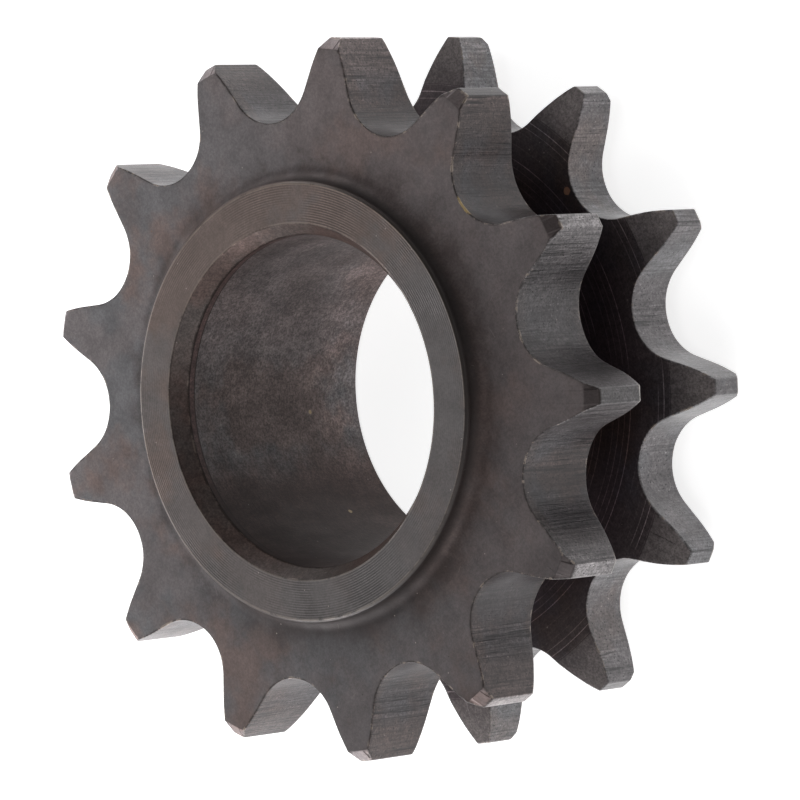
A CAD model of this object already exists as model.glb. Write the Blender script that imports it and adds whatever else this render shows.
"""Chain sprocket: the dressed steel body, its studio and its camera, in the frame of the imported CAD."""
from math import acos, atan2, cos, pi, radians, sin

import bpy
import numpy as np
from mathutils import Euler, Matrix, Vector


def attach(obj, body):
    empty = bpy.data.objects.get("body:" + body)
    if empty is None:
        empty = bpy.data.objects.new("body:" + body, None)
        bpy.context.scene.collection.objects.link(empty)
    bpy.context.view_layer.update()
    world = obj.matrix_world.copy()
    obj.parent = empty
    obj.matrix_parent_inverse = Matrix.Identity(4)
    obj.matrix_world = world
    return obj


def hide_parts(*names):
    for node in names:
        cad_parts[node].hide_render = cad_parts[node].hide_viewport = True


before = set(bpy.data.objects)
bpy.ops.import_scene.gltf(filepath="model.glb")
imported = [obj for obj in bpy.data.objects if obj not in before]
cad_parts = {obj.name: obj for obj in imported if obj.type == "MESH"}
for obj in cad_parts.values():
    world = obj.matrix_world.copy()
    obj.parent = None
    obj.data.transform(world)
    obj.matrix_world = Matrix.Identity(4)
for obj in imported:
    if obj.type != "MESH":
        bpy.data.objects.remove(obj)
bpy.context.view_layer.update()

MM = 0.001

# ---------------------------------------------------------------- sizes, the CAD's own (mm)
TEETH = 13
CHAIN_PITCH = 19.05
ROLLER_DIA = 11.91
TIP_R = 43.7
SEAT_R = 6.3
SEAT_HALF_ANGLE = radians(58.0)
FLANK_STRAIGHT = 2.5
FLANK_R = 22.5

BACK_BOSS_H = 3.0
BACK_ROW_W = 6.5
ROW_GAP = 9.8
FRONT_ROW_W = 11.7
FRONT_BOSS_H = 2.3

BORE_R = 20.0
BORE_EDGE = 0.5
MOUTH_R = 21.4
MOUTH_DEPTH = 2.0
BOSS_R = 26.5
BOSS_EDGE = 0.3
BOSS_FILLET = 2.0
GROOVE_R = 25.5
GROOVE_CORNER = 1.0
FRONT_TIP_BEVEL = 1.4
FRONT_TIP_RELIEF = 2.9
BACK_TIP_BEVEL = 0.8
BACK_TIP_RELIEF = 1.4
BACK_RELIEF_R = 38.0

PITCH_R = CHAIN_PITCH / (2 * sin(pi / TEETH))
ROOT_R = PITCH_R - ROLLER_DIA / 2
Z_BACK = BACK_BOSS_H
Z_GROOVE_BACK = Z_BACK + BACK_ROW_W
Z_GROOVE_FRONT = Z_GROOVE_BACK + ROW_GAP
Z_FRONT = Z_GROOVE_FRONT + FRONT_ROW_W
HEIGHT = Z_FRONT + FRONT_BOSS_H

# ---------------------------------------------------------------- sizes of the dressing (mm)
GAP_EDGE = 0.13            # how far the deburred edge round each tooth gap reaches
TIP_CORNER = 0.22          # rounding of the upright edges at a tooth's tip
LAND_EDGE = 0.10           # rounding of the turned ridges
FINE_EDGE = 0.08           # rounding of the edge breaks on the bosses and the bore
MOUTH_EDGE = 0.07          # rounding of the mouth's edge on the boss
MOUTH_FOOT = 0.15          # rounding of the ridge between the mouth and the bore
SUPPORT = 0.30             # distance of the loop that holds a flat surface flat beside an edge
ROOM_SHARE = 0.8           # share of the room inside a narrow corner that the loops may use
EDGE_SHARE = 0.7           # share of that room that the rounded edge may take
BORE_LOOPS = (BORE_EDGE + 0.2, 12.0, 24.0)     # heights of the bore's own loops
MERGE_WITHIN = 0.002       # vertices closer than this are merged

SEAT_POINTS = 14
FLANK_POINTS = 7
FILLET_STEPS = 9
ROUNDING = (0.0, 0.33, 0.67, 1.0)              # loops across a rounded edge
WALL_LOOPS = (0.03, 0.25, 0.5, 0.75, 0.97)     # loops down a tooth's wall
INNER_LOOPS = (0.35, 0.7)                      # loops between a turned circle and a tooth edge
SEED = 7

rng = np.random.default_rng(SEED)


# ---------------------------------------------------------------- tooth outline
def half_gap():
    """Points from the bottom of a gap at angle 0 to the middle of the next tooth, with their
    normals out of the steel."""
    seat_centre = np.array([ROOT_R + SEAT_R, 0.0])
    outward = np.array([-cos(SEAT_HALF_ANGLE), sin(SEAT_HALF_ANGLE)])
    along = np.array([sin(SEAT_HALF_ANGLE), cos(SEAT_HALF_ANGLE)])
    seat_end = seat_centre + outward * SEAT_R
    flank_start = seat_end + along * FLANK_STRAIGHT
    flank_centre = flank_start + outward * FLANK_R

    def flank_angle(radius):
        """Where the flank's arc crosses a circle round the axis."""
        reach = np.hypot(*flank_centre)
        bearing = atan2(flank_centre[1], flank_centre[0])
        cosine = (radius ** 2 - reach ** 2 - FLANK_R ** 2) / (2 * FLANK_R * reach)
        return bearing - acos(cosine)

    def flank_at(angle):
        normal = np.array([cos(angle), sin(angle)])
        return flank_centre + FLANK_R * normal, normal

    points = []
    normals = []
    for angle in np.linspace(0, SEAT_HALF_ANGLE, SEAT_POINTS):
        inward = np.array([cos(angle), -sin(angle)])
        points.append(seat_centre - SEAT_R * inward)
        normals.append(inward)
    for share in (0.5, 1.0):
        points.append(seat_end + along * FLANK_STRAIGHT * share)
        normals.append(-outward)
    ridge = flank_angle(TIP_R - FRONT_TIP_BEVEL)
    tip = flank_angle(TIP_R)
    for angle in np.linspace(-SEAT_HALF_ANGLE, ridge, FLANK_POINTS)[1:]:
        point, normal = flank_at(angle)
        points.append(point)
        normals.append(normal)
    corner_start = tip - TIP_CORNER / FLANK_R
    for angle in np.linspace(ridge, corner_start, 3)[1:]:
        point, normal = flank_at(angle)
        points.append(point)
        normals.append(normal)
    corner, flank_normal = flank_at(tip)
    tip_bearing = atan2(corner[1], corner[0])
    arc_start = tip_bearing + TIP_CORNER / TIP_R
    land = TIP_R * np.array([cos(arc_start), sin(arc_start)])
    land_normal = land / TIP_R
    begin = points[-1]
    for t in (1 / 3, 2 / 3, 1.0):
        points.append((1 - t) ** 2 * begin + 2 * t * (1 - t) * corner + t ** 2 * land)
        normal = (1 - t) * flank_normal + t * land_normal
        normals.append(normal / np.hypot(*normal))
    for bearing in np.linspace(arc_start, pi / TEETH, 3)[1:]:
        normal = np.array([cos(bearing), sin(bearing)])
        points.append(TIP_R * normal)
        normals.append(normal)
    return np.array(points), np.array(normals)


def turned(vectors, angle):
    """Points or normals in the plane, turned about the axis."""
    c, s = cos(angle), sin(angle)
    return vectors @ np.array([[c, s], [-s, c]])


def outline():
    """The whole tooth outline, anticlockwise from the bottom of the gap on +X."""
    points, normals = half_gap()
    flip = np.array([1.0, -1.0])
    step = 2 * pi / TEETH
    mirrored = turned(points[::-1] * flip, step)[1:-1]
    mirrored_normals = turned(normals[::-1] * flip, step)[1:-1]
    pitch = np.concatenate([points, mirrored])
    pitch_normals = np.concatenate([normals, mirrored_normals])
    whole = [turned(pitch, step * k) for k in range(TEETH)]
    whole_normals = [turned(pitch_normals, step * k) for k in range(TEETH)]
    return np.concatenate(whole), np.concatenate(whole_normals)


POINTS, NORMALS = outline()
COLUMNS = len(POINTS)
RADII = np.hypot(POINTS[:, 0], POINTS[:, 1])
RAYS = POINTS / RADII[:, None]
ON_LAND = RADII > TIP_R - TIP_CORNER


def room_inwards():
    """How far each point of the outline can go in along its normal before it meets the next one's."""
    along = np.roll(POINTS, -1, axis=0) - POINTS
    turn = np.roll(NORMALS, -1, axis=0) - NORMALS
    closing = np.maximum((turn * along).sum(axis=1), 1e-9)
    meeting = (along ** 2).sum(axis=1) / closing
    return np.minimum(meeting, np.roll(meeting, 1))


ROOM = ROOM_SHARE * room_inwards()


def wander(smooth):
    """Smooth closed random curve along the outline, from -1 to 1."""
    values = rng.standard_normal(COLUMNS)
    width = int(3 * smooth)
    kernel = np.exp(-0.5 * (np.arange(-width, width + 1) / smooth) ** 2)
    values = np.convolve(np.concatenate([values[-width:], values, values[:width]]), kernel, "valid")
    return values / np.abs(values).max()


# ---------------------------------------------------------------- body mesh
ZONES = ("face", "boss", "mouth", "bore", "flank", "back_flank", "groove")


class Loops:
    """Closed rings of vertices, from the bore, out over the front, and back in to the bore. wear is
    1 on an edge and 2 on one that is rubbed bare."""

    def __init__(self):
        self.rings = []
        self.wear = []
        self.zones = []

    def add(self, xy, z, zone, wear=0.0):
        """Adds a ring. zone names the surface between this ring and the one before."""
        z = np.broadcast_to(z, (COLUMNS,))
        self.rings.append(np.column_stack([xy, z]))
        self.wear.append(np.broadcast_to(wear, (COLUMNS,)))
        self.zones.append(ZONES.index(zone))

    def turned(self, radius, z, zone, wear=0.0):
        radius = np.broadcast_to(radius, (COLUMNS,))
        self.add(RAYS * radius[:, None], z, zone, wear)

    def ridge(self, before, corner, after, zone, zone_after, reach=LAND_EDGE, support=SUPPORT):
        """A turned corner, rounded, with a loop each side that keeps its neighbours flat."""
        before, corner, after = (np.array(p, float) for p in (before, corner, after))
        inward = (before - corner) / np.hypot(*(before - corner))
        onward = (after - corner) / np.hypot(*(after - corner))
        start = corner + inward * reach
        end = corner + onward * reach
        if support:
            self.turned(*(corner + inward * support), zone)
        for t in ROUNDING:
            point = (1 - t) ** 2 * start + 2 * t * (1 - t) * corner + t ** 2 * end
            self.turned(*point, zone_after if t > 0.5 else zone, 1.0)
        if support:
            self.turned(*(corner + onward * support), zone_after)

    def fillet(self, centre, start, end):
        for angle in np.linspace(start, end, FILLET_STEPS + 1):
            radius = centre[0] + BOSS_FILLET * cos(angle)
            self.turned(radius, centre[1] + BOSS_FILLET * sin(angle), "face")


def front_top(r):
    return Z_FRONT - np.maximum(0, r - (TIP_R - FRONT_TIP_BEVEL))


def front_bottom(r):
    slope = FRONT_TIP_RELIEF / (TIP_R - ROOT_R)
    return Z_GROOVE_FRONT + slope * np.maximum(0, r - ROOT_R)


def back_top(r):
    slope = BACK_TIP_RELIEF / (TIP_R - BACK_RELIEF_R)
    return Z_GROOVE_BACK - slope * np.maximum(0, r - BACK_RELIEF_R)


def back_bottom(r):
    return Z_BACK + np.maximum(0, r - (TIP_R - BACK_TIP_BEVEL))


def edge_points(surface, reach, up):
    """The rounded edge between a tooth wall and a turned surface: rings from the wall inwards."""
    inner = POINTS - NORMALS * reach[:, None]
    wall_z = surface(RADII) - up * reach
    corner_z = surface(RADII)
    inner_z = surface(np.hypot(inner[:, 0], inner[:, 1]))
    rings = []
    for t in ROUNDING:
        a, b, c = (1 - t) ** 2, 2 * t * (1 - t), t ** 2
        xy = a * POINTS + b * POINTS + c * inner
        rings.append((xy, a * wall_z + b * corner_z + c * inner_z))
    return rings


def towards_edge(loops, reach, surface, crease, zone, start_radius, outward):
    """Rings between a turned circle and a tooth edge, with a crease at one radius. Near the circle
    they are round, and near the edge they follow it."""
    held = POINTS - NORMALS * np.minimum(reach + SUPPORT, ROOM)[:, None]
    held_r = np.hypot(held[:, 0], held[:, 1])
    held_rays = held / held_r[:, None]
    rings = []
    for share in INNER_LOOPS:
        radius = start_radius + (np.minimum(held_r, crease) - start_radius) * share
        ray = RAYS * (1 - share ** 3) + held_rays * share ** 3
        ray = ray / np.hypot(ray[:, 0], ray[:, 1])[:, None]
        rings.append(ray * radius[:, None])
    for shift in (-LAND_EDGE, LAND_EDGE):
        rings.append(held_rays * np.minimum(held_r, crease + shift)[:, None])
    rings.append(held)
    if not outward:
        rings = rings[::-1]
    for ring in rings:
        loops.add(ring, surface(np.hypot(ring[:, 0], ring[:, 1])), zone)


def walls(loops, top, bottom, top_reach, bottom_reach, zone, zone_above):
    """The tooth walls of one row, from the rounded edge at its front to the one at its back."""
    upper = edge_points(top, top_reach, 1.0)
    lower = edge_points(bottom, bottom_reach, -1.0)
    high = upper[0][1]
    low = lower[0][1]
    for n, (xy, z) in enumerate(upper[::-1]):
        loops.add(xy, z, zone if n else zone_above, 1.0)
    for share in WALL_LOOPS:
        loops.add(POINTS, high + (low - high) * share, zone)
    for xy, z in lower:
        loops.add(xy, z, zone, 1.0 + ON_LAND)


def body_mesh():
    loops = Loops()
    # both gap edges of both rows, each uneven over long stretches and over short ones
    reaches = [GAP_EDGE * (1 + 0.4 * wander(12) + 0.5 * wander(1.5)) for _ in range(4)]
    reach_a, reach_b, reach_c, reach_d = (np.minimum(reach, EDGE_SHARE * ROOM) for reach in reaches)
    # the back edges of the front row's tips are rounded more
    reach_b = np.minimum(reach_b * (1 + 0.8 * ON_LAND), EDGE_SHARE * ROOM)
    fillet_r = BOSS_R + BOSS_FILLET
    corner_r = GROOVE_R + GROOVE_CORNER

    # bore and mouth
    for z in BORE_LOOPS:
        loops.turned(BORE_R, z, "bore")
    mouth_foot = (BORE_R, HEIGHT - MOUTH_DEPTH)
    loops.ridge((BORE_R, 0), mouth_foot, (MOUTH_R, HEIGHT), "bore", "mouth", MOUTH_FOOT)
    loops.ridge(mouth_foot, (MOUTH_R, HEIGHT), (BOSS_R, HEIGHT), "mouth", "boss", MOUTH_EDGE)

    # boss face, its edge, its fillet
    face_end = (BOSS_R - BOSS_EDGE, HEIGHT)
    wall_top = (BOSS_R, HEIGHT - BOSS_EDGE)
    loops.ridge((MOUTH_R, HEIGHT), face_end, wall_top, "boss", "boss", FINE_EDGE)
    loops.turned(*wall_top, "boss", 0.5)
    loops.fillet((fillet_r, Z_FRONT + BOSS_FILLET), pi, 1.5 * pi)

    # front row
    bevel_r = TIP_R - FRONT_TIP_BEVEL
    loops.turned(fillet_r + SUPPORT, Z_FRONT, "face")
    towards_edge(loops, reach_a, front_top, bevel_r, "face", fillet_r, True)
    walls(loops, front_top, front_bottom, reach_a, reach_b, "flank", "face")
    towards_edge(loops, reach_b, front_bottom, ROOT_R, "groove", corner_r, False)

    # groove
    loops.turned(corner_r, Z_GROOVE_FRONT, "groove")
    loops.turned(GROOVE_R, Z_GROOVE_FRONT - GROOVE_CORNER, "groove")
    loops.turned(GROOVE_R, Z_GROOVE_BACK + GROOVE_CORNER, "groove")
    loops.turned(corner_r, Z_GROOVE_BACK, "groove")

    # back row
    towards_edge(loops, reach_c, back_top, BACK_RELIEF_R, "groove", corner_r, True)
    walls(loops, back_top, back_bottom, reach_c, reach_d, "back_flank", "groove")
    bevel_r = TIP_R - BACK_TIP_BEVEL
    towards_edge(loops, reach_d, back_bottom, bevel_r, "face", fillet_r, False)

    # back boss
    loops.turned(fillet_r + SUPPORT, Z_BACK, "face")
    loops.fillet((fillet_r, Z_BACK - BOSS_FILLET), 0.5 * pi, pi)
    wall_start = (BOSS_R, Z_BACK - BOSS_FILLET)
    wall_foot = (BOSS_R, BOSS_EDGE)
    face_end = (BOSS_R - BOSS_EDGE, 0)
    bore_edge = (BORE_R + BORE_EDGE, 0)
    bore_foot = (BORE_R, BORE_EDGE)
    loops.ridge(wall_start, wall_foot, face_end, "face", "boss", FINE_EDGE, 0)
    loops.ridge(wall_foot, face_end, bore_edge, "boss", "boss", FINE_EDGE)
    loops.ridge(face_end, bore_edge, bore_foot, "boss", "bore", FINE_EDGE)
    loops.ridge(bore_edge, bore_foot, mouth_foot, "bore", "bore", FINE_EDGE, 0)

    rings = np.array(loops.rings)
    count = len(rings)
    vertices = rings.reshape(-1, 3) * MM
    ring, column = np.meshgrid(np.arange(count), np.arange(COLUMNS), indexing="ij")
    after_ring = (ring + 1) % count
    after_column = (column + 1) % COLUMNS
    faces = np.stack([
        ring * COLUMNS + column,
        ring * COLUMNS + after_column,
        after_ring * COLUMNS + after_column,
        after_ring * COLUMNS + column,
    ], axis=-1).reshape(-1, 4)
    zone = np.roll(loops.zones, -1)
    mesh = bpy.data.meshes.new("sprocket_steel")
    mesh.from_pydata(vertices.tolist(), [], faces.tolist())
    wear = mesh.attributes.new("wear", "FLOAT", "POINT")
    wear.data.foreach_set("value", np.array(loops.wear, np.float32).ravel())
    mesh.polygons.foreach_set("material_index", np.repeat(zone, COLUMNS).astype(np.int32))
    mesh.update()
    return mesh


# ---------------------------------------------------------------- colours and finish
METALLIC = 0.4
OIL = 0.2                  # share of a flank under a thin film of oil
OIL_ROUGHNESS = 0.22

# grey, slate and brown oxide of each zone
OXIDES = {
    "face": ((0.0885, 0.0785, 0.0800), (0.0765, 0.0750, 0.0790), (0.0994, 0.0712, 0.0644)),
    "boss": ((0.0736, 0.0633, 0.0615), (0.0701, 0.0644, 0.0638), (0.0839, 0.0609, 0.0529)),
    "mouth": ((0.0680, 0.0530, 0.0490), (0.0620, 0.0520, 0.0495), (0.0680, 0.0455, 0.0405)),
    "bore": ((0.1040, 0.0935, 0.0940), (0.0905, 0.0900, 0.0940), (0.1030, 0.0790, 0.0740)),
    "flank": ((0.0475, 0.0410, 0.0431), (0.0436, 0.0407, 0.0447), (0.0490, 0.0334, 0.0303)),
    "back_flank": ((0.1489, 0.1362, 0.1415), (0.1369, 0.1335, 0.1415), (0.1442, 0.1182, 0.1133)),
    "groove": ((0.0340, 0.0240, 0.0270), (0.0280, 0.0230, 0.0285), (0.0310, 0.0195, 0.0180)),
}

# roughness and tint of the gloss of each zone
GLOSS = {
    "face": (0.56, (1.0, 0.94, 0.95)),
    "boss": (0.50, (1.0, 0.92, 0.90)),
    "mouth": (0.45, (1.0, 0.88, 0.85)),
    "bore": (0.52, (1.0, 0.92, 0.91)),
    "flank": (0.36, (1.0, 0.955, 0.975)),
    "back_flank": (0.32, (1.0, 0.98, 0.98)),
    "groove": (0.45, (1.0, 0.88, 0.92)),
}

# what is painted over the oxides
FACE_BROWN = (0.0994, 0.0735, 0.0701)
BOSS_SLATE = (0.0655, 0.0627, 0.0650)
BOSS_SHADED_EDGE = (0.018, 0.014, 0.013)
BORE_TOP = (0.1120, 0.0850, 0.0820)
BORE_BOTTOM = (0.088, 0.050, 0.044)
BORE_FOOT = (0.058, 0.028, 0.025)
BORE_FOOT_LINE = (0.006, 0.004, 0.004)
FLANK_BORDER = (0.0500, 0.0360, 0.0325)
RUBBED_FLANK = (0.118, 0.110, 0.112)
TIP_LAND = (0.0500, 0.0475, 0.0480)
GROOVE_RELIEF = (0.1333, 0.1179, 0.1154)
STAIN = (0.042, 0.024, 0.020)
SCRATCH = (0.16, 0.145, 0.135)
DUST = (0.28, 0.24, 0.22)
RUST = (0.16, 0.08, 0.045)
PIT = (0.008, 0.006, 0.006)
DARK_NICK = (0.012, 0.008, 0.006)
BRIGHT_NICK = (0.33, 0.27, 0.22)
BARE_TIP = (0.50, 0.48, 0.45)

# spots that the photo shows: place, radius (mm) and colour
GOLDEN_EDGE = ((4.3, -35.1, Z_FRONT), 1.9, (0.42, 0.30, 0.12))
GROOVE_RUST = ((6.4, -32.8, Z_GROOVE_BACK), 0.5, (0.30, 0.16, 0.10))
BORE_DOTS = (
    ((9.4, 17.6, 9.4), 0.28, (0.42, 0.33, 0.20)),
    ((-4.4, 19.5, 9.7), 0.28, (0.42, 0.33, 0.20)),
)

# bearings (degrees) of teeth whose tips are rubbed paler, or darker below 0, and how much
RUBBED_TIPS = {-41.5: 2.6, -69.2: -0.8, -96.9: 1.0, -124.6: -0.5, -152.3: 0.85, 180.0: 1.3}
RUBBED_TOOTH = -124.6      # the tooth whose one flank is rubbed too
FEED = 0.30                # pitch of the turning marks on the bosses (mm)
GROOVE_FEED = 0.85         # pitch of the rings on the groove's walls (mm)


# ---------------------------------------------------------------- materials
class Nodes:
    """The node tree of a material or a world, built by short calls."""

    def __init__(self, owner):
        self.owner = owner
        owner.use_nodes = True
        self.tree = owner.node_tree
        self.tree.nodes.clear()

    def node(self, kind, **settings):
        made = self.tree.nodes.new("ShaderNode" + kind)
        for key, value in settings.items():
            setattr(made, key, value)
        return made

    def feed(self, socket, value):
        if isinstance(value, bpy.types.NodeSocket):
            self.tree.links.new(value, socket)
        else:
            socket.default_value = value

    def math(self, operation, a, b=0.0, c=0.0, clamp=False):
        made = self.node("Math", operation=operation, use_clamp=clamp)
        for socket, value in zip(made.inputs, (a, b, c)):
            self.feed(socket, value)
        return made.outputs[0]

    def both(self, a, b):
        """1 where both masks are 1."""
        return self.math("MULTIPLY", a, b)

    def mix(self, share, a, b):
        made = self.node("Mix", data_type="RGBA", clamp_factor=True)
        self.feed(made.inputs[0], share)
        self.feed(made.inputs[6], a)
        self.feed(made.inputs[7], b)
        return made.outputs[2]

    def step(self, value, low, high):
        """0 at low, 1 at high, smooth between. low may be the greater."""
        made = self.node("MapRange", interpolation_type="SMOOTHSTEP")
        self.feed(made.inputs[0], value)
        made.inputs[1].default_value = low
        made.inputs[2].default_value = high
        return made.outputs[0]

    def place(self, stretch=(1, 1, 1)):
        """Object coordinates in millimetres, stretched."""
        made = self.node("VectorMath", operation="MULTIPLY")
        made.inputs[1].default_value = [s / MM for s in stretch]
        self.feed(made.inputs[0], self.node("TexCoord").outputs["Object"])
        return made.outputs[0]

    def noise(self, vector, scale, detail=3.0, rough=0.55):
        """Noise from 0 to 1. scale is per millimetre."""
        made = self.node("TexNoise")
        self.feed(made.inputs["Vector"], vector)
        made.inputs["Scale"].default_value = scale
        made.inputs["Detail"].default_value = detail
        made.inputs["Roughness"].default_value = rough
        return made.outputs[0]

    def specks(self, vector, size, share, radius):
        """Scattered dots: cells of this size, of which a share holds a dot of this radius."""
        made = self.node("TexVoronoi", feature="F1")
        self.feed(made.inputs["Vector"], vector)
        made.inputs["Scale"].default_value = 1 / size
        dot = self.step(made.outputs["Distance"], radius / size, 0.6 * radius / size)
        number = self.node("SeparateColor")
        self.feed(number.inputs[0], made.outputs["Color"])
        return self.both(dot, self.math("LESS_THAN", number.outputs[0], share))

    def height_over_floor(self):
        """In millimetres."""
        made = self.node("SeparateXYZ")
        self.feed(made.inputs[0], self.place())
        return made.outputs[2]

    def radius(self):
        """Distance from the sprocket's axis, in millimetres."""
        made = self.node("VectorMath", operation="LENGTH")
        self.feed(made.inputs[0], self.place((1, 1, 0)))
        return made.outputs["Value"]

    def outside(self, radius):
        """1 outside a circle round the axis."""
        return self.step(self.radius(), radius - 0.03, radius + 0.03)

    def side(self, bearing):
        """How far out a point lies towards a bearing in degrees: 1 at the tip circle."""
        made = self.node("VectorMath", operation="DOT_PRODUCT")
        self.feed(made.inputs[0], self.place())
        made.inputs[1].default_value = (cos(radians(bearing)) / TIP_R, sin(radians(bearing)) / TIP_R, 0)
        return made.outputs["Value"]

    def towards(self, bearing, start, full):
        """0 where side(bearing) is at start, 1 where it is at full."""
        return self.step(self.side(bearing), start, full)


class Steel(Nodes):
    """Blackened steel. Each call lays one more thing on its colour, its shade or its height."""

    def __init__(self, zone, brown_share, cloud, drift=(0, 0, 0)):
        """Patches of grey, slate and brown oxide. drift is a bearing in degrees, how much paler and
        how much browner the steel grows that way."""
        super().__init__(bpy.data.materials.new("steel_" + zone))
        grey, slate, brown = OXIDES[zone]
        self.roughness, self.gloss_tint = GLOSS[zone]
        self.at = self.place()
        bearing, paler, browner = drift
        side = self.side(bearing)
        patches = self.math("MULTIPLY_ADD", side, browner, self.noise(self.at, 0.075, 4.0, 0.6))
        tint = self.noise(self.place((1, 1, 1.02)), 0.11, 3.0, 0.6)
        self.colour = self.mix(self.step(tint, 0.44, 0.60), (*grey, 1), (*slate, 1))
        self.paint(self.step(patches, 0.66 - brown_share, 0.80 - brown_share), 1.0, brown)
        self.clouds = self.step(self.noise(self.place((1, 1, 0.6)), 0.26, 4.0, 0.62), 0.28, 0.72)
        self.shade = self.math("MULTIPLY_ADD", self.clouds, cloud, 1 - 0.5 * cloud)
        self.lighten(side, paler)
        self.height = self.math("MULTIPLY", self.clouds, 0.004)

    def lighten(self, share, amount):
        self.shade = self.math("MULTIPLY", self.shade, self.math("MULTIPLY_ADD", share, amount, 1.0))

    def lift(self, share, amount):
        """Raises the surface by an amount in millimetres, for the bump."""
        self.height = self.math("MULTIPLY_ADD", share, amount, self.height)

    def paint(self, share, strength, colour):
        self.colour = self.mix(self.math("MULTIPLY", share, strength), self.colour, (*colour, 1))

    def settle(self):
        """Takes the shade into the colour, so that what is painted next isn't shaded."""
        made = self.node("VectorMath", operation="SCALE")
        self.feed(made.inputs[0], self.colour)
        self.feed(made.inputs["Scale"], self.shade)
        self.colour = made.outputs[0]

    def grain(self, amount, speckle=0.0):
        """Fine uneven oxide, and dense dark and pale specks."""
        coarse = self.step(self.noise(self.at, 1.4, 3.0, 0.7), 0.32, 0.68)
        fine = self.step(self.noise(self.at, 3.6, 2.0, 0.7), 0.32, 0.68)
        self.lighten(self.math("SUBTRACT", coarse, 0.5), 0.40 * amount)
        self.lighten(self.math("SUBTRACT", fine, 0.5), 0.60 * amount)
        self.lift(self.math("ADD", coarse, fine), 0.004 * amount)
        if speckle:
            dark = self.specks(self.place((1.0, 1.0, 0.7)), size=0.42, share=0.55, radius=0.11)
            self.lighten(dark, -speckle)
            self.lift(dark, -0.006 * speckle)
            pale = self.specks(self.place((1.0, 1.01, 0.7)), size=0.55, share=0.30, radius=0.12)
            self.lighten(pale, speckle)

    def feed_marks(self, pitch, bearing, depth, paleness):
        """Even turning marks, one wave a pitch, plainest towards a bearing and away from it."""
        wave = self.math("COSINE", self.math("DIVIDE", self.radius(), pitch / (2 * pi)))
        patchy = self.step(self.noise(self.at, 0.14, 2.0), 0.30, 0.65)
        sector = self.step(self.math("ABSOLUTE", self.side(bearing)), 0.05, 0.50)
        strength = self.math("MULTIPLY", patchy, self.math("MULTIPLY_ADD", sector, 0.8, 0.2))
        wave = self.math("MULTIPLY", wave, strength)
        self.lighten(wave, paleness)
        self.lift(wave, depth)

    def rings(self, pitch, width, depth, paleness):
        """A thin turned ring in each pitch, uneven in strength and broken along its length."""
        turn = self.math("DIVIDE", self.radius(), pitch)
        middle = self.math("ABSOLUTE", self.math("SUBTRACT", self.math("FRACT", turn), 0.5))
        line = self.step(middle, width / pitch, 0.3 * width / pitch)
        which = self.node("TexWhiteNoise", noise_dimensions="1D")
        self.feed(which.inputs["W"], self.math("FLOOR", turn))
        unbroken = self.step(self.noise(self.at, 0.16, 2.0), 0.32, 0.56)
        strength = self.math("POWER", which.outputs["Value"], 1.5)
        marks = self.math("MULTIPLY", self.both(line, unbroken), strength)
        self.lighten(marks, paleness)
        self.lift(marks, depth)

    def cutting(self, amount):
        """Marks of the tooth cutter, along the axis: streaks in bands, and a few deep dark lines."""
        banded = self.step(self.noise(self.place((1, 1, 0.15)), 0.22, 2.0), 0.36, 0.62)
        streaks = self.step(self.noise(self.place((1, 1, 0.03)), 2.6, 3.0, 0.75), 0.36, 0.64)
        streaks = self.math("SUBTRACT", streaks, 0.5)
        deep = self.step(self.noise(self.place((1, 1, 0.05)), 3.4, 1.0, 0.5), 0.60, 0.68)
        deep = self.both(deep, banded)
        strength = self.math("MULTIPLY_ADD", banded, 0.8, 0.2)
        self.lighten(self.math("MULTIPLY", streaks, strength), 0.6 * amount)
        self.lighten(deep, -0.5 * amount)
        self.lift(streaks, 0.010 * amount)
        self.lift(deep, -0.010 * amount)

    def pits(self, place, size, share, radius, darkness, depth):
        holes = self.specks(place, size, share, radius)
        self.lighten(holes, -darkness)
        self.lift(holes, -depth)

    def scratches(self, amount):
        """A few thin pale scratches, curved and broken."""
        spacing = 6.0
        for bearing in (20, 75, 140):
            bend = self.noise(self.place((1, 1, 0.9)), 0.09, 1.0)
            across = self.math("MULTIPLY_ADD", self.side(bearing), TIP_R / spacing, bend)
            middle = self.math("ABSOLUTE", self.math("SUBTRACT", self.math("FRACT", across), 0.5))
            line = self.step(middle, 0.07 / spacing, 0.02 / spacing)
            kept = self.step(self.noise(self.place((1, 1, 1 + bearing / 100)), 0.35, 1.0), 0.66, 0.70)
            self.paint(self.both(line, kept), amount, SCRATCH)

    def stain(self, inner, outer, amount):
        """A ragged stain round the boss: full up to the radius inner, gone at outer."""
        ragged = self.math("MULTIPLY_ADD", self.clouds, 3.0, self.radius())
        self.paint(self.step(ragged, outer + 2, inner + 2), amount, STAIN)

    def mouth_foot(self, top):
        """A reddish band in the bore below the height top, between two thin dark lines."""
        below = self.math("SUBTRACT", top, self.height_over_floor())
        ragged = self.math("MULTIPLY_ADD", self.noise(self.at, 1.6), 0.3, below)
        self.paint(self.step(ragged, 1.30, 1.20), 0.8, BORE_FOOT)
        for depth, width in ((0.12, 0.12), (1.05, 0.14)):
            line = self.step(self.math("ABSOLUTE", self.math("SUBTRACT", below, depth)), width, 0.4 * width)
            self.paint(line, 0.8, BORE_FOOT_LINE)

    def dirt(self):
        """Dust, rust dots and small dark pits."""
        pits = self.specks(self.place((1.0, 1.01, 1.0)), size=3.7, share=0.20, radius=0.13)
        dust = self.specks(self.at, size=1.9, share=0.42, radius=0.11)
        rust = self.specks(self.place((1.0, 1.0, 1.01)), size=5.3, share=0.20, radius=0.16)
        self.paint(dust, 0.7, DUST)
        self.paint(rust, 0.5, RUST)
        self.paint(pits, 0.7, PIT)
        self.lift(pits, -0.02)

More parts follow.
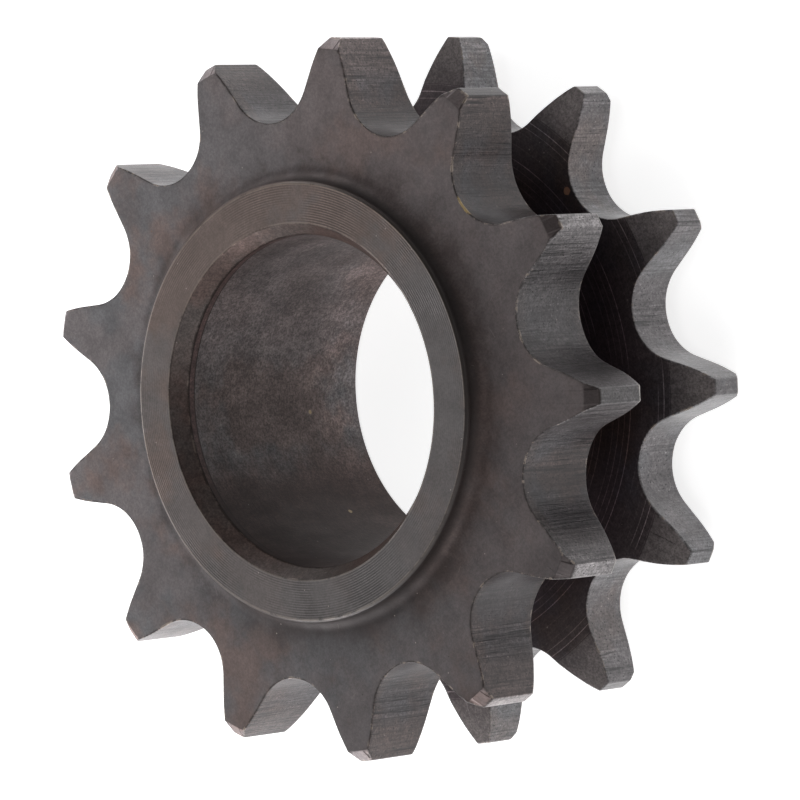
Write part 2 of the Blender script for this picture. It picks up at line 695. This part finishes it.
    def border(self, middle, reach):
        """1 on a ragged band further than reach above and below a height, and towards the tips."""
        off = self.math("ABSOLUTE", self.math("SUBTRACT", self.height_over_floor(), middle))
        ragged = self.math("MULTIPLY_ADD", self.clouds, 1.6, off)
        sides = self.step(ragged, reach, reach + 1.2)
        return self.math("MAXIMUM", sides, self.step(self.radius(), 38.0, 41.0))

    def blot(self, place, radius):
        """1 within a ragged blot round a place."""
        apart = self.node("VectorMath", operation="DISTANCE")
        self.feed(apart.inputs[0], self.at)
        apart.inputs[1].default_value = place
        ragged = self.math("MULTIPLY_ADD", self.noise(self.at, 2.5), 0.6 * radius, apart.outputs["Value"])
        return self.step(ragged, 1.40 * radius, 1.15 * radius)

    def spot(self, place, radius, colour):
        self.paint(self.blot(place, radius), 0.9, colour)

    def tip(self, bearing):
        """1 on the tooth that stands at a bearing in degrees, near its tip."""
        return self.towards(bearing, 0.93, 0.95)

    def one_flank(self, bearing):
        """1 on one flank of the tooth that stands at a bearing in degrees, away from its root."""
        across = self.side(bearing - 90)
        near = self.both(self.step(across, 0.03, 0.06), self.step(across, 0.22, 0.14))
        return self.both(near, self.towards(bearing, 0.70, 0.80))

    def edges(self, bright_share, dark_share, brightness):
        """Worn edges: bright nicks and dark ones, and bare metal at the corners of the tips."""
        wear = self.node("Attribute", attribute_name="wear").outputs["Fac"]
        edge = self.step(wear, 0.35, 0.9)
        corner = self.step(wear, 1.2, 1.9)
        broken = self.noise(self.at, 0.55, 5.0, 0.75)
        dark = self.step(broken, 0.40 + 0.25 * dark_share, 0.32 + 0.25 * dark_share)
        bright = self.step(broken, 0.62 - 0.25 * bright_share, 0.70 - 0.25 * bright_share)
        rubbed = self.step(broken, 0.34, 0.50)
        self.paint(self.both(edge, dark), 0.6, DARK_NICK)
        self.bright = self.both(edge, bright)
        self.paint(self.bright, brightness, BRIGHT_NICK)
        self.paint(self.both(corner, rubbed), 0.75, BARE_TIP)
        return edge

    def gild(self, edge):
        """Makes one stretch of a tooth gap's front edge golden."""
        place, radius, colour = GOLDEN_EDGE
        self.paint(self.both(edge, self.blot(place, radius)), 0.7, colour)

    def done(self, oil=0.0):
        bump = self.node("Bump")
        bump.inputs["Distance"].default_value = MM
        self.feed(bump.inputs["Height"], self.height)
        shader = self.node("BsdfPrincipled")
        self.feed(shader.inputs["Base Color"], self.colour)
        shader.inputs["Metallic"].default_value = METALLIC
        uneven = self.math("MULTIPLY_ADD", self.clouds, -0.08, self.roughness + 0.04)
        self.feed(shader.inputs["Roughness"], self.math("MULTIPLY_ADD", self.bright, -0.1, uneven))
        self.feed(shader.inputs["Normal"], bump.outputs[0])
        shader.inputs["Specular Tint"].default_value = (*self.gloss_tint, 1)
        shader.inputs["Coat Weight"].default_value = oil
        shader.inputs["Coat Roughness"].default_value = OIL_ROUGHNESS
        output = self.node("OutputMaterial")
        self.feed(output.inputs[0], shader.outputs[0])
        return self.owner


def face_steel():
    """The flat sides of the rows, with the boss fillets and the bevels of the tips."""
    s = Steel("face", brown_share=0.16, cloud=0.22, drift=(28, 0.38, 0))
    s.paint(s.towards(262, -0.6, 0.9), 0.55, FACE_BROWN)
    s.grain(0.45)
    s.stain(26, 30, 0.5)
    # darker round the boss, on its wall and in its fillet
    near_boss = s.step(s.radius(), 33.0, 28.0)
    s.lighten(s.both(near_boss, s.towards(150, 0.30, 0.62)), -0.5)
    s.lighten(s.both(near_boss, s.towards(-75, 0.20, 0.62)), -0.25)
    boss_wall = s.step(s.radius(), 27.3, 26.6)
    s.lighten(s.both(boss_wall, s.towards(-110, 0.0, 0.4)), -0.6)
    fillet = s.step(s.radius(), 29.5, 28.5)
    s.lighten(s.both(fillet, s.towards(50, 0.2, 0.6)), -0.3)
    # the bevels, darkest towards 250 degrees
    bevel = s.outside(TIP_R - FRONT_TIP_BEVEL)
    s.lighten(bevel, -0.2)
    s.lighten(s.both(bevel, s.towards(250, 0.97, 0.40)), 2.2)
    s.settle()
    s.scratches(0.25)
    s.dirt()
    s.gild(s.edges(0.35, 0.5, 0.55))
    return s.done()


def boss_steel():
    """The faced ends of the bosses."""
    s = Steel("boss", brown_share=0.20, cloud=0.14, drift=(-10, 0.15, 0.30))
    s.paint(s.towards(205, 0.05, 0.50), 0.4, BOSS_SLATE)
    s.grain(0.4)
    s.feed_marks(FEED, bearing=-48, depth=0.011, paleness=0.55)
    s.settle()
    s.dirt()
    s.edges(0.9, 0.0, 0.16)
    s.paint(s.both(s.outside(BOSS_R - BOSS_EDGE), s.towards(-110, 0.0, 0.4)), 0.85, BOSS_SHADED_EDGE)
    return s.done()


def mouth_steel():
    """The lead-in at the front of the bore."""
    s = Steel("mouth", brown_share=0.26, cloud=0.35)
    s.lighten(s.towards(-40, 0.36, 0.47), 0.5)
    s.grain(1.0)
    s.settle()
    s.dirt()
    s.edges(0.3, 0.6, 0.2)
    return s.done()


def bore_steel():
    """The wall of the bore: brown towards 0 degrees, smeared, paler low down, dark towards 115."""
    s = Steel("bore", brown_share=0.20, cloud=0.55)
    s.paint(s.towards(0, 0.28, 0.44), 0.6, BORE_TOP)
    smeared = s.step(s.noise(s.place((1, 1, 0.8)), 0.20, 4.0, 0.60), 0.42, 0.66)
    s.lighten(smeared, 0.30)
    s.lighten(s.towards(15, 0.20, 0.42), 0.12)
    low = s.step(s.height_over_floor(), 12.0, 3.0)
    s.lighten(low, 0.45)
    s.lighten(s.both(low, s.towards(20, 0.30, 0.45)), 0.45)
    s.paint(s.towards(115, 0.35, 0.44), 0.9, BORE_BOTTOM)
    s.lighten(s.towards(115, 0.34, 0.45), -0.75)
    s.grain(1.3)
    s.cutting(0.15)
    s.mouth_foot(HEIGHT - MOUTH_DEPTH)
    s.settle()
    s.dirt()
    for dot in BORE_DOTS:
        s.spot(*dot)
    s.edges(0.1, 0.9, 0.2)
    return s.done()


def flank_steel():
    """The walls of the front row's teeth."""
    s = Steel("flank", brown_share=0.18, cloud=0.45)
    s.paint(s.border((Z_GROOVE_FRONT + Z_FRONT) / 2, 4.6), 0.75, FLANK_BORDER)
    s.grain(1.3, speckle=0.9)
    s.cutting(1.8)
    s.pits(s.place((1.0, 1.0, 0.9)), size=1.5, share=0.22, radius=0.17, darkness=0.75, depth=0.03)
    root = s.step(s.radius(), 37.0, ROOT_R)
    s.lighten(root, -0.35)
    s.lighten(s.both(root, s.towards(-40, 0.55, 0.75)), -0.35)
    # paler where it is rubbed
    s.paint(s.towards(-116, 0.70, 0.85), 0.9, RUBBED_FLANK)
    s.lighten(s.one_flank(RUBBED_TOOTH), 0.55)
    s.lighten(s.towards(-44, 0.84, 0.94), 1.0)
    land = s.outside(TIP_R - 0.08)
    s.paint(land, 0.7, TIP_LAND)
    s.lighten(land, 0.8)
    for bearing, paler in RUBBED_TIPS.items():
        s.lighten(s.both(land, s.tip(bearing)), paler)
    s.settle()
    s.dirt()
    s.gild(s.edges(0.35, 0.5, 0.55))
    return s.done(OIL)


def back_flank_steel():
    """The walls of the back row's teeth."""
    s = Steel("back_flank", brown_share=0.12, cloud=0.4, drift=(-20, 0.18, 0))
    s.grain(1.1, speckle=0.8)
    s.cutting(1.3)
    s.settle()
    s.dirt()
    s.edges(0.4, 0.4, 0.5)
    return s.done(2 * OIL)


def groove_steel():
    """The groove and the two sides that face it. The back one is paler where it leans to its tips."""
    s = Steel("groove", brown_share=0.14, cloud=0.3)
    s.grain(1.0)
    back = s.step(s.height_over_floor(), Z_GROOVE_BACK + 2.5, Z_GROOVE_BACK + 0.5)
    lean = s.outside(BACK_RELIEF_R)
    to_tip = s.math("MULTIPLY_ADD", s.step(s.radius(), BACK_RELIEF_R, 42.0), 0.45, 0.33)
    to_lean = s.step(s.radius(), 31.0, BACK_RELIEF_R)
    pale = s.math("MULTIPLY_ADD", to_lean, 0.22, s.both(lean, to_tip))
    s.paint(s.both(back, pale), 1.0, GROOVE_RELIEF)
    # the rings end where the lean starts
    without_rings = s.shade
    s.rings(GROOVE_FEED, width=0.075, depth=0.003, paleness=5.0)
    s.shade = s.math("MULTIPLY_ADD", lean, s.math("SUBTRACT", without_rings, s.shade), s.shade)
    s.settle()
    s.dirt()
    s.spot(*GROOVE_RUST)
    s.edges(0.3, 0.3, 0.4)
    return s.done()


STEELS = {
    "face": face_steel,
    "boss": boss_steel,
    "mouth": mouth_steel,
    "bore": bore_steel,
    "flank": flank_steel,
    "back_flank": back_flank_steel,
    "groove": groove_steel,
}

body = bpy.data.objects.new("sprocket_steel", body_mesh())
bpy.context.scene.collection.objects.link(body)
for zone in ZONES:
    body.data.materials.append(STEELS[zone]())
body.data.shade_smooth()
merge = body.modifiers.new("merge", "WELD")
merge.merge_threshold = MERGE_WITHIN * MM
body.modifiers.new("weighted_normals", "WEIGHTED_NORMAL")
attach(body, "root")
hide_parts("sprocket")


# ---------------------------------------------------------------- floor, lights and camera
FLOOR_COLOUR = (0.80, 0.80, 0.80, 1)
FLOOR_GLOW = 0.80          # what the floor adds for the camera and in reflections
FLOOR_HALF = 3.0           # metres
WORLD_LIGHT = 0.05
BACKDROP_GLOSS = 0.8       # how bright the backdrop is in the steel's reflections
BACKDROP_TOP = radians(30)
BACKDROP_FULL = radians(5)


def floor_material():
    n = Nodes(bpy.data.materials.new("floor_pale"))
    path = n.node("LightPath")
    diffuse = n.node("BsdfDiffuse")
    diffuse.inputs["Color"].default_value = FLOOR_COLOUR
    glow = n.node("Emission")
    seen = n.math("ADD", path.outputs["Is Camera Ray"], path.outputs["Is Glossy Ray"], clamp=True)
    seen = n.math("ADD", seen, path.outputs["Is Transmission Ray"], clamp=True)
    n.feed(glow.inputs["Strength"], n.math("MULTIPLY", seen, FLOOR_GLOW))
    total = n.node("AddShader")
    n.feed(total.inputs[0], diffuse.outputs[0])
    n.feed(total.inputs[1], glow.outputs[0])
    output = n.node("OutputMaterial")
    n.feed(output.inputs[0], total.outputs[0])
    return n.owner


floor_mesh = bpy.data.meshes.new("floor")
corners = [(-FLOOR_HALF, -FLOOR_HALF, 0), (FLOOR_HALF, -FLOOR_HALF, 0),
           (FLOOR_HALF, FLOOR_HALF, 0), (-FLOOR_HALF, FLOOR_HALF, 0)]
floor_mesh.from_pydata(corners, [], [(0, 1, 2, 3)])
floor = bpy.data.objects.new("floor", floor_mesh)
floor_mesh.materials.append(floor_material())
bpy.context.scene.collection.objects.link(floor)

CENTRE = Vector((0, 0, HEIGHT / 2 * MM))

# name: direction from the sprocket (azimuth, elevation in degrees), distance, size (m), power (W)
LIGHTS = {
    "softbox_left": (60, 35, 1.2, 0.7, 2.71),
    "softbox_high": (60, 60, 1.2, 0.7, 1.24),
    "softbox_above": (0, 60, 1.2, 0.7, 1.23),
    "softbox_top": (240, 75, 1.2, 0.7, 1.64),
    "softbox_below": (150, 35, 1.2, 0.7, 2.85),
    "softbox_right": (180, 35, 1.2, 0.7, 3.24),
    "strip_left": (60, 12, 1.2, 0.45, 4.40),
    "strip_above": (0, 12, 1.2, 0.45, 2.80),
    "strip_right": (210, 12, 1.2, 0.45, 1.30),
    "near_low": (120, 8, 0.17, 0.08, 0.129),
}
for name, (azimuth, elevation, distance, size, power) in LIGHTS.items():
    a, e = radians(azimuth), radians(elevation)
    towards = Vector((cos(a) * cos(e), sin(a) * cos(e), sin(e)))
    lamp = bpy.data.lights.new(name, "AREA")
    lamp.shape = "DISK"
    lamp.size = size
    lamp.energy = power
    holder = bpy.data.objects.new(name, lamp)
    holder.location = CENTRE + towards * distance
    holder.rotation_euler = towards.to_track_quat("Z", "Y").to_euler()
    bpy.context.scene.collection.objects.link(holder)


def studio_world():
    """A white surround to the camera, a white backdrop low down in reflections, and little light."""
    n = Nodes(bpy.data.worlds.new("studio"))
    path = n.node("LightPath")
    direction = n.node("SeparateXYZ")
    n.feed(direction.inputs[0], n.node("TexCoord").outputs["Generated"])
    low = n.step(direction.outputs[2], sin(BACKDROP_TOP), sin(BACKDROP_FULL))
    gloss = n.math("MULTIPLY", path.outputs["Is Glossy Ray"], n.math("MULTIPLY", low, BACKDROP_GLOSS))
    seen = n.math("MAXIMUM", path.outputs["Is Camera Ray"], path.outputs["Is Transmission Ray"])
    background = n.node("Background")
    n.feed(background.inputs["Strength"], n.math("ADD", n.math("MAXIMUM", seen, gloss), WORLD_LIGHT))
    n.feed(n.node("OutputWorld").inputs[0], background.outputs[0])
    return n.owner


bpy.context.scene.world = studio_world()

CAMERA_PLACE = (-235.83, -377.12, 520.66)      # mm
CAMERA_TURN = (-3.8910, 41.1787, -127.8277)    # degrees, XYZ
CAMERA_LENS = 247.83                           # mm
CAMERA_SENSOR = 36.0                           # mm
CAMERA_CLIP = 0.01                             # metres

camera_data = bpy.data.cameras.new("camera")
camera_data.sensor_width = CAMERA_SENSOR
camera_data.lens = CAMERA_LENS
camera_data.clip_start = CAMERA_CLIP
camera = bpy.data.objects.new("camera", camera_data)
camera.location = Vector(CAMERA_PLACE) * MM
camera.rotation_euler = Euler([radians(a) for a in CAMERA_TURN], "XYZ")
bpy.context.scene.collection.objects.link(camera)
bpy.context.scene.camera = camera
bpy.context.scene.view_settings.view_transform = "Standard"
